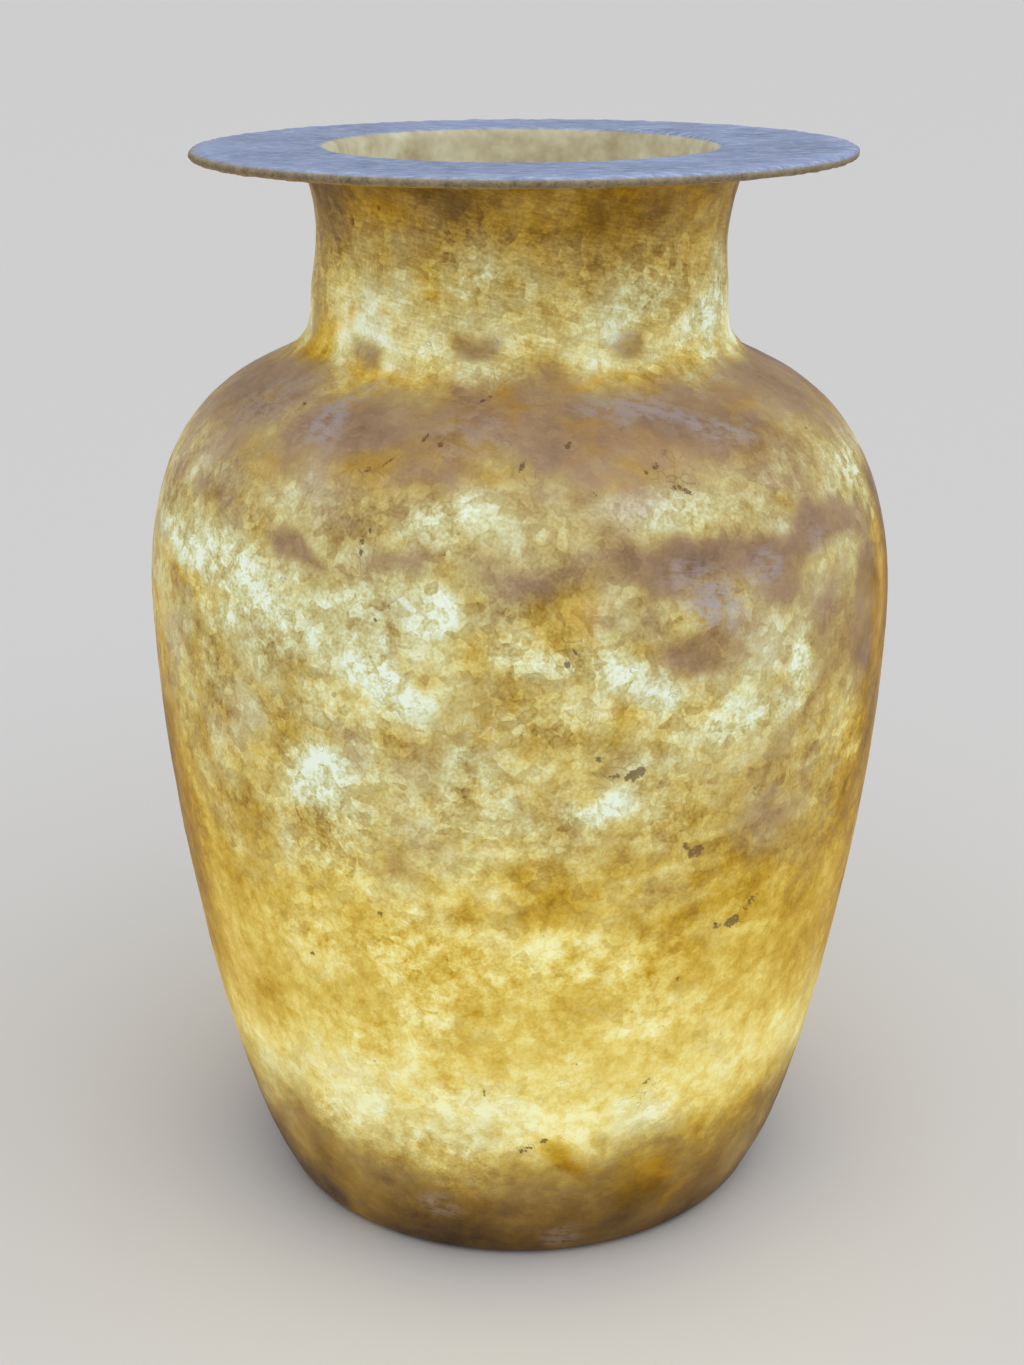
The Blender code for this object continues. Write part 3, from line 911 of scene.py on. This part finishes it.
# Colours from dark to bright of the four kinds of stone
PALE_SHADES = (
    (0.00, (0.045, 0.022, 0.004)), (0.20, (0.190, 0.115, 0.025)), (0.35, (0.330, 0.230, 0.070)),
    (0.50, (0.460, 0.375, 0.140)), (0.65, (0.570, 0.525, 0.245)), (0.80, (0.680, 0.695, 0.415)),
    (1.00, (0.805, 0.885, 0.735)),
)
GOLD_SHADES = (
    (0.00, (0.045, 0.018, 0.0)), (0.20, (0.215, 0.105, 0.0)), (0.35, (0.385, 0.210, 0.006)),
    (0.50, (0.545, 0.345, 0.028)), (0.65, (0.690, 0.500, 0.090)), (0.80, (0.825, 0.685, 0.200)),
    (1.00, (0.930, 0.900, 0.470)),
)
MAUVE_SHADES = (
    (0.00, (0.116, 0.075, 0.047)), (0.20, (0.237, 0.154, 0.096)), (0.35, (0.337, 0.224, 0.132)),
    (0.50, (0.408, 0.300, 0.170)), (0.65, (0.495, 0.405, 0.240)), (1.00, (0.710, 0.730, 0.580)),
)
HOLLOW_SHADES = (
    (0.00, (0.150, 0.110, 0.060)), (0.35, (0.340, 0.285, 0.165)), (0.50, (0.430, 0.385, 0.250)),
    (0.65, (0.530, 0.500, 0.350)), (1.00, (0.780, 0.780, 0.640)),
)
# How brightly the studio's own light shows a white upright surface
STUDIO_LEVEL = 0.70

# Sizes of the stone's marks, and how far the bands wander
DRIFT_SIZE = 0.034
DRIFT_REACH = 0.022
RIPPLE_SIZE = 0.0070
RIPPLE_REACH = 0.006
CLOUD_SIZE = 0.034
BLOT_SIZE = 0.016
MOTTLE_SIZE = 0.0080
GRAIN_SIZE = 0.0036
DUST_SIZE = 0.0009
CRYSTAL_SIZE = 0.0027
STROKE_SIZE = 0.0048
HUE_SIZE = 0.019
CRACK_SIZE = 0.0036
SCRATCH_SIZE = 0.0016

# Heights and radii between which one zone of the stone goes over into the next
UPPER_HALF = (0.105, 0.165)
NECK_ROOT = (0.224, 0.262)
RIM_TOP_HEIGHT = (0.2985, 0.2993)
RIM_EDGE_HEIGHT = (0.2950, 0.2963)
MOUTH_RADIUS = (0.0522, 0.0538)
RIM_EDGE_RADIUS = (0.0866, 0.0874)


class StoneField:
    """Where a point of the stone lies, and the noises and mesh attributes its colours are made of."""

    def __init__(self, n):
        self.n = n
        self.place = n.add("TexCoord", output="Object")
        self.find_place()
        for name in ("bright", "dull", "golden", "iron", "scuffed"):
            setattr(self, name, n.attribute(name))
        self.add_noises()
        self.add_strokes()

    def find_place(self):
        """The point's height and radius, and its level among the bands, which wander slowly and fast."""
        n = self.n
        middle = (0.5, 0.5, 0.5)
        self.drift = n.vector("SUBTRACT", n.noise(self.place, DRIFT_SIZE, 0.0, output="Color"), middle)
        self.ripple = n.vector("SUBTRACT", n.noise(self.place, RIPPLE_SIZE, 1.0, output="Color"), middle)
        wander = n.vector("ADD", n.tint(self.drift, DRIFT_REACH), n.tint(self.ripple, RIPPLE_REACH))
        bent = n.vector("ADD", self.place, wander)
        self.level = n.add("SeparateXYZ", None, {0: bent}, output=2) / (HEIGHT_TOP * MM)
        self.x = n.add("SeparateXYZ", None, {0: self.place})
        self.y = self.x.also("Y")
        self.z = self.x.also("Z")
        self.radius = n.math("SQRT", self.x * self.x + self.y * self.y)

    def add_noises(self):
        """Clouds, blots and grain, and the cells of the crystals. The clouds lean, less so on the foot."""
        n, x, z = self.n, self.x, self.z
        self.upper = n.smooth(z, *UPPER_HALF)
        leaning_z = z * (0.9 + 0.4 * self.upper) + x * (0.9 * self.upper - 0.6)
        leaning = n.add("CombineXYZ", None, {0: x, 1: self.y, 2: leaning_z})
        self.cloud = n.noise(leaning, CLOUD_SIZE, 1.0, 0.5) - 0.5
        self.blots = n.noise(leaning, BLOT_SIZE, 2.0, 0.5) - 0.5
        self.mottle = n.noise(self.place, MOTTLE_SIZE, 2.0, 0.5) - 0.5
        self.grain = n.noise(self.place, GRAIN_SIZE, 2.0, 0.55) - 0.5
        self.dust = n.noise(self.place, DUST_SIZE, 2.0, 0.65) - 0.5
        shaken = n.vector("ADD", self.place, n.tint(self.ripple, 0.0035))
        self.cell = n.add("TexVoronoi", None, {"Vector": shaken, "Scale": 1 / CRYSTAL_SIZE})
        self.cell_colour = n.add("SeparateColor", None, {0: self.cell.also("Color")}) - 0.5
        self.between = n.smooth(self.cell, 0.50, 0.85)

    def add_strokes(self):
        """Scratches left by smoothing, mostly on the neck."""
        n = self.n
        slanted_z = (self.z + 0.22 * self.x) * 6.0
        slanted = n.add("CombineXYZ", None, {0: self.x, 1: self.y, 2: slanted_z})
        self.strokes = n.noise(slanted, STROKE_SIZE, 2.0, 0.68) - 0.5
        self.on_neck = n.smooth(self.z, *NECK_ROOT)


def stone_tone(f):
    """The stone's brightness from dark at 0 to bright at 1, and how far it is darkened, by duller stone and
    by painted shade on the flanks.
    """
    n, z = f.n, f.z
    dulled_and_shaded = n.smooth(f.dull * (1.0 + 1.5 * f.cloud + 1.0 * f.blots), 0.0, 0.56, 0.0, 0.38)
    calm = 0.5 + 0.5 * n.smooth(z, 0.085, 0.150) + 0.25 * n.smooth(z, 0.045, 0.025)
    lively = n.steps(f.level, LIVELY) * (1.0 - (0.7 + 1.2 * f.upper) * dulled_and_shaded)
    sparkle = 1.0 + 1.4 * f.mottle + 1.6 * f.grain + 0.6 * f.cell_colour + 1.6 * f.dust
    tone = n.steps(f.level, BRIGHTNESS) + 0.70 * f.bright * sparkle - dulled_and_shaded + 0.46 * f.cloud * calm
    texture = (0.50 - 0.03 * f.upper - 0.16 * f.on_neck) * f.mottle + (0.32 + 0.08 * f.upper) * f.grain
    texture = texture + (0.24 + 0.14 * f.upper) * f.dust
    texture = texture + (0.40 - f.cell) * 0.05 * (1.0 - f.on_neck) + f.cell_colour * (0.12 + 0.09 * f.upper)
    texture = texture + f.strokes * (0.05 + 0.40 * f.on_neck)
    # Dark specks are milder than bright ones
    texture = n.math("MAXIMUM", texture, 0.85 * texture) - 0.006
    blotches = (0.22 + 0.34 * lively) * calm * f.blots * (1.0 - 0.35 * f.on_neck)
    return tone + lively * texture + blotches, dulled_and_shaded


def stone_colour(f, tone, dulled_and_shaded):
    """Pale, golden or mauve shades of the tone."""
    n, upper, on_neck = f.n, f.upper, f.on_neck
    hue = n.noise(f.place, HUE_SIZE, 2.0, 0.6) - 0.5
    # The golden patches also carry the painted amber shade on the flanks.
    warm = n.steps(f.level, GOLD) + 0.75 * f.golden + 0.5 * f.iron + 0.7 * hue + 0.25 * f.cell_colour
    warm = warm + 0.06 * f.between
    warm = warm - 1.7 * f.bright * upper - (0.7 * f.mottle + 0.45 * f.blots) * (0.3 + 0.7 * upper)
    warm = n.math("MULTIPLY", warm, 1.0, clamp=True)
    greyness = n.steps(f.level, MAUVE) * (0.95 - 2.0 * hue - 1.0 * f.blots)
    greyness = greyness + 2.1 * dulled_and_shaded * upper * (1.0 - 0.85 * on_neck)
    greyness = greyness + 0.5 * n.smooth(hue, 0.05, -0.20) * upper * (1.0 - 0.7 * on_neck)
    greyness = greyness - 0.4 * f.iron - 1.0 * f.golden - 0.8 * f.bright
    greyness = n.math("MULTIPLY", greyness, 1.0, clamp=True)
    stone = n.blend(warm, n.shades(tone, PALE_SHADES), n.shades(tone, GOLD_SHADES))
    return n.blend(greyness, stone, n.shades(tone, MAUVE_SHADES))


def add_stain(f, stone, tone, amber):
    """Orange iron stain."""
    n = f.n
    patchy = n.smooth(f.blots + 0.8 * f.mottle, -0.20, 0.14)
    stain = n.math("MULTIPLY", f.iron * patchy, 0.80, clamp=True)
    return n.blend(stain, stone, n.tint(amber, 0.50 + 0.9 * tone))


def scuff_and_sheen_share(f):
    """Where scuffs catch the studio's light, as a painted sheen in their colour."""
    n = f.n
    rough = n.smooth(f.grain + 0.9 * f.strokes, -0.18, 0.14)
    return n.math("MULTIPLY", f.scuffed * rough, 0.75, clamp=True)


def dirt_share(f):
    """Hair cracks in clusters, a few long ones, and dirt in the chips."""
    n = f.n
    cracked = n.vector("ADD", f.place, n.vector("ADD", n.tint(f.drift, 0.030), n.tint(f.ripple, 0.005)))
    inputs = {"Vector": cracked, "Scale": 1 / CRACK_SIZE}
    net = n.add("TexVoronoi", {"feature": "DISTANCE_TO_EDGE"}, inputs)
    thin = n.smooth(net, 0.075, 0.010)
    crazing = thin * n.smooth(n.attribute("crazed") + 2.4 * f.grain + 1.8 * f.dust, 0.45, 0.80)
    seams = n.smooth(n.math("ABSOLUTE", f.blots), 0.0030, 0.0008)
    long_cracks = seams * n.smooth(f.mottle + 0.5 * f.grain, 0.05, 0.15) * f.upper
    chipped = n.attribute("pits") * (0.9 + 2.8 * f.grain + 4.2 * f.dust)
    dirt = n.smooth(chipped, 0.26, 0.62, 0.0, 0.80)
    return n.math("MAXIMUM", dirt, n.math("MAXIMUM", crazing * 0.45, long_cracks * 0.35))


def rim_edge_colour(f, colours):
    """Rough stone around the rim's edge, lighter towards its top as a painted highlight, and amber towards
    its underside.
    """
    n, z = f.n, f.z
    flecks = n.smooth(f.dust, 0.10, 0.20)
    # The term rising towards the top of the edge is a painted highlight.
    tone = 0.92 + 1.2 * f.grain + 1.2 * f.dust - 0.40 * flecks + n.smooth(z, 0.2975, 0.2995, 0.0, 0.6)
    underside = n.smooth(z, 0.2976, 0.2960, 0.0, 0.7)
    return n.tint(n.blend(underside, tuple(colours.rim_face), tuple(colours.amber)), tone)


def rim_top_colour(f, colours):
    """Unlit stone tinted blue-grey as a painted reflection of the cool sky, with pale scratches that are
    partly painted highlight, and a painted highlight lighter towards the edge.
    """
    n = f.n
    scratches = n.noise(n.stretched(f.place, (0.35, 1.6, 1.0)), SCRATCH_SIZE, 2.0, 0.75) - 0.5
    tone = 0.80 + 1.1 * scratches + 0.4 * f.mottle + 0.4 * f.cloud
    # Painted highlight: lighter towards the rim's outer edge.
    tone = tone + n.smooth(f.radius, 0.078, 0.089, 0.0, 0.16)
    # The pale scratches are partly painted highlight.
    worn_and_highlit = n.smooth(scratches + 0.4 * f.dust, 0.01, 0.20, 0.0, 0.46)
    return n.blend(worn_and_highlit, n.tint(tuple(colours.rim_top_sky_tinted), tone), tuple(colours.rim_scratch_highlit))


def alabaster(colours):
    """The stone's finish. Part of each colour is given off, as by stone lit from inside."""
    material = bpy.data.materials.new("alabaster")
    material.use_nodes = True
    n = StoneNodes(material)
    shader = material.node_tree.nodes["Principled BSDF"]
    f = StoneField(n)
    tone, dulled_and_shaded = stone_tone(f)
    stone = stone_colour(f, tone, dulled_and_shaded)
    stone = add_stain(f, stone, tone, tuple(colours.amber))
    scuff_and_sheen = scuff_and_sheen_share(f)
    # Painted sheen: scuffs take a colour that stands in for the studio light's reflection.
    stone = n.blend(scuff_and_sheen, stone, tuple(colours.lavender_sheen))
    dirt = dirt_share(f)
    stone = n.blend(dirt, stone, tuple(colours.chip))

    # The hollow is the same stone, paler and softer
    hollow = n.smooth(n.attribute("hollow"), 0.3, 0.7)
    inside_tone = 0.56 + 0.5 * f.mottle + 0.35 * f.grain + 0.4 * f.blots
    stone = n.blend(hollow, stone, n.shades(inside_tone, HOLLOW_SHADES))

    # The rim's top and edge are unlit
    above = n.smooth(f.z, *RIM_TOP_HEIGHT) * n.smooth(f.radius, *MOUTH_RADIUS)
    at_edge = n.smooth(f.radius, *RIM_EDGE_RADIUS) * n.smooth(f.z, *RIM_EDGE_HEIGHT)
    stone = n.blend(at_edge, stone, rim_edge_colour(f, colours))
    stone = n.blend(above, stone, rim_top_colour(f, colours))

    # Share of the colour that the inner light gives, and what is left for the studio's light
    lit = n.steps(f.level, LIT) * (1.0 - 0.85 * scuff_and_sheen) * (1.0 - 0.5 * dirt)
    lit = n.math("MAXIMUM", lit, hollow * 0.9) * (1.0 - at_edge) * (1.0 - above)
    inner = lit * colours.glow
    n.plug(shader.inputs["Base Color"], n.tint(stone, (1.0 - inner) / STUDIO_LEVEL))
    # The emission is painted glow: it stands in for a lamp inside the vase, which is not built, in the
    # hollow too.
    n.plug(shader.inputs["Emission Color"], n.tint(stone, inner))
    shader.inputs["Emission Strength"].default_value = 1.0
    n.plug(shader.inputs["Roughness"], 0.46 + 0.5 * f.grain + 0.22 * at_edge + 0.12 * above + 0.25 * dirt)
    shader.inputs["Specular IOR Level"].default_value = 0.12
    relief = 0.6 * f.grain + 0.4 * f.strokes
    bump = n.add("Bump", None, {"Strength": 0.5, "Distance": 0.0006, "Height": relief}, output="Normal")
    n.plug(shader.inputs["Normal"], bump)
    return material


def plain_floor(colour):
    material = bpy.data.materials.new("floor")
    material.use_nodes = True
    shader = material.node_tree.nodes["Principled BSDF"]
    shader.inputs["Base Color"].default_value = (*colour, 1.0)
    shader.inputs["Roughness"].default_value = 0.85
    return material


def overhead_light(strength):
    """A wide soft light from above, a little in front."""
    data = bpy.data.lights.new("overhead", "SUN")
    data.energy = strength
    data.angle = math.radians(75.0)
    data.color = (0.97, 0.98, 1.0)
    light = bpy.data.objects.new("overhead", data)
    bpy.context.scene.collection.objects.link(light)
    light.location = (0.2, -0.5, 1.5)
    light.rotation_euler = (math.radians(20.0), math.radians(8.0), 0.0)


def make_camera(studio):
    data = bpy.data.cameras.new("photo_camera")
    data.lens = studio.lens
    data.sensor_width = 36.0
    data.clip_start = 0.01
    camera = bpy.data.objects.new("photo_camera", data)
    bpy.context.scene.collection.objects.link(camera)
    camera.location = (studio.aside, -studio.distance, studio.height)
    camera.rotation_euler = (math.pi / 2 - studio.pitch, 0.0, 0.0)
    bpy.context.scene.camera = camera


class OBJECT_OT_carve_vase(bpy.types.Operator):
    """Turn the vase from the solid's outline, carve its wear and chips, and give it its alabaster finish"""

    bl_idname = "object.carve_vase"
    bl_label = "Carve the vase"

    def execute(self, context):
        piece = carve_stone(context.scene.vase_shape)
        piece.data.materials.append(alabaster(context.scene.vase_colours))
        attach(piece, "root")
        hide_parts(NODE)
        return {"FINISHED"}


class SCENE_OT_set_vase_studio(bpy.types.Operator):
    """Put down a plain pale floor, soft lights and the camera"""

    bl_idname = "scene.set_vase_studio"
    bl_label = "Set the studio"

    def execute(self, context):
        studio = context.scene.vase_studio
        clear_selection()
        bpy.ops.mesh.primitive_plane_add(size=60.0, location=(0.0, 0.0, 0.0))
        floor = bpy.context.active_object
        floor.name = "floor"
        floor.data.materials.append(plain_floor(studio.floor))
        overhead_light(studio.overhead)
        world = bpy.data.worlds.new("surround")
        world.use_nodes = True
        shader = world.node_tree.nodes["Background"]
        shader.inputs["Color"].default_value = (0.95, 0.96, 1.0, 1.0)
        shader.inputs["Strength"].default_value = studio.sky
        context.scene.world = world
        context.scene.view_settings.view_transform = "Standard"
        make_camera(studio)
        return {"FINISHED"}


class VIEW3D_PT_vase(bpy.types.Panel):
    """Lists the vase's operators with the settings they read"""

    bl_label = "Alabaster vase"
    bl_idname = "VIEW3D_PT_vase"
    bl_space_type = "VIEW_3D"
    bl_region_type = "UI"
    bl_category = "Vase"

    def draw(self, context):
        layout = self.layout
        scene = context.scene
        layout.operator(OBJECT_OT_carve_vase.bl_idname)
        layout.operator(SCENE_OT_set_vase_studio.bl_idname)
        for group in (scene.vase_shape, scene.vase_colours, scene.vase_studio):
            box = layout.box()
            for name in group.__annotations__:
                box.prop(group, name)


CLASSES = (
    VaseShape, VaseColours, StudioSetup, OBJECT_OT_carve_vase, SCENE_OT_set_vase_studio, VIEW3D_PT_vase,
)


def register():
    for each in CLASSES:
        bpy.utils.register_class(each)
    bpy.types.Scene.vase_shape = bpy.props.PointerProperty(type=VaseShape)
    bpy.types.Scene.vase_colours = bpy.props.PointerProperty(type=VaseColours)
    bpy.types.Scene.vase_studio = bpy.props.PointerProperty(type=StudioSetup)


def unregister():
    del bpy.types.Scene.vase_shape
    del bpy.types.Scene.vase_colours
    del bpy.types.Scene.vase_studio
    for each in reversed(CLASSES):
        bpy.utils.unregister_class(each)


def main():
    register()
    bpy.ops.object.carve_vase()
    bpy.ops.scene.set_vase_studio()


if __name__ == "__main__":
    main()
